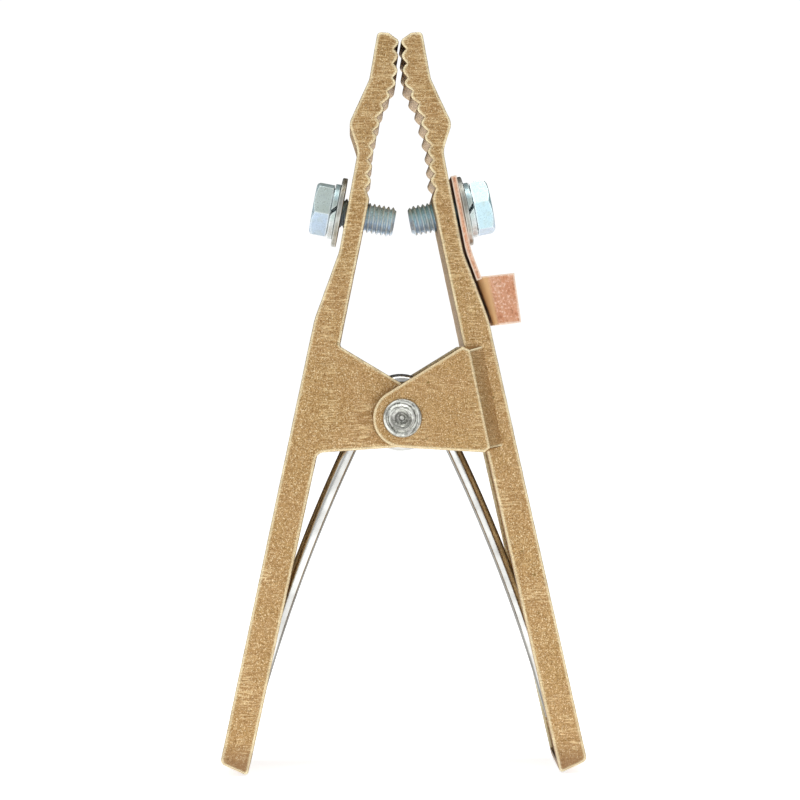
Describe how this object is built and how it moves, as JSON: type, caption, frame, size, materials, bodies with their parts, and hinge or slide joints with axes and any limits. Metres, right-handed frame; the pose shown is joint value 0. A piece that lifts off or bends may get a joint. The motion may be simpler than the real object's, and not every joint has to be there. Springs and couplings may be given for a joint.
{
  "type": "ground clamp",
  "caption": "Spring-loaded brass welding ground clamp with toothed jaws, screw terminals and a copper crimp lug.",
  "frame": {"origin": "centre of the bottom of the bounding box, between the two handle ends", "axes": "+Z from the handle ends to the jaw tips, +X towards the arm with the copper lug, -Y to the front"},
  "size_m": [0.0954, 0.0404, 0.1927],
  "materials": {
    "brass": "sand-cast brass, linished on its sides",
    "rivet_steel": "dull plated steel",
    "spring_steel": "bright plated spring wire",
    "bright_zinc": "blue-passivated zinc plating",
    "washer_steel": "dull zinc plating",
    "copper": "bare stamped copper"
  },
  "bodies": {
    "left_arm": {"left_arm": "brass", "pivot_rivet": "rivet_steel", "spring_spacer": "rivet_steel", "torsion_spring": "spring_steel"},
    "right_arm": {"right_arm": "brass"},
    "left_washers": {"left_flat_washer": "washer_steel", "left_lock_washer": "washer_steel"},
    "left_screw": {"left_terminal_screw": "bright_zinc"},
    "right_washers": {"right_flat_washer": "washer_steel", "right_lock_washer": "washer_steel"},
    "right_screw": {"right_terminal_screw": "bright_zinc"},
    "cable_lug": {"cable_lug": "copper"}
  },
  "joints": [
    {"name": "jaw_pivot", "type": "hinge", "parent": "left_arm", "child": "right_arm", "pos_m": [0, 0, 0.0929], "axis": [0, 1, 0], "range_deg": [0, 45], "stiffness_Nm_per_rad": 8, "springref_deg": -28.65, "deforming": ["torsion_spring"]},
    {"name": "left_screw_travel", "type": "slide", "parent": "left_arm", "child": "left_washers", "axis": [0.982, 0, -0.1888], "range_m": [-0.0071, 0.0013]},
    {"name": "left_screw_turn", "type": "hinge", "parent": "left_washers", "child": "left_screw", "pos_m": [-0.01408, 0, 0.1465], "axis": [0.982, 0, -0.1888], "range_deg": [-2050, 380]},
    {"name": "right_screw_travel", "type": "slide", "parent": "right_arm", "child": "right_washers", "axis": [-0.982, 0, -0.1888], "range_m": [-0.006, 0.0006]},
    {"name": "right_screw_turn", "type": "hinge", "parent": "right_washers", "child": "right_screw", "pos_m": [0.01408, 0, 0.1465], "axis": [-0.982, 0, -0.1888], "range_deg": [-1735, 178]},
    {"name": "lug_swivel", "type": "hinge", "parent": "right_washers", "child": "cable_lug", "pos_m": [0.01408, 0, 0.1465], "axis": [-0.982, 0, -0.1888], "range_deg": [-90, 90]}
  ],
  "couplings": [
    {"joint": "left_screw_turn", "follows": "left_screw_travel", "rad_per_m": 5026.5},
    {"joint": "right_screw_turn", "follows": "right_screw_travel", "rad_per_m": 5026.5}
  ]
}
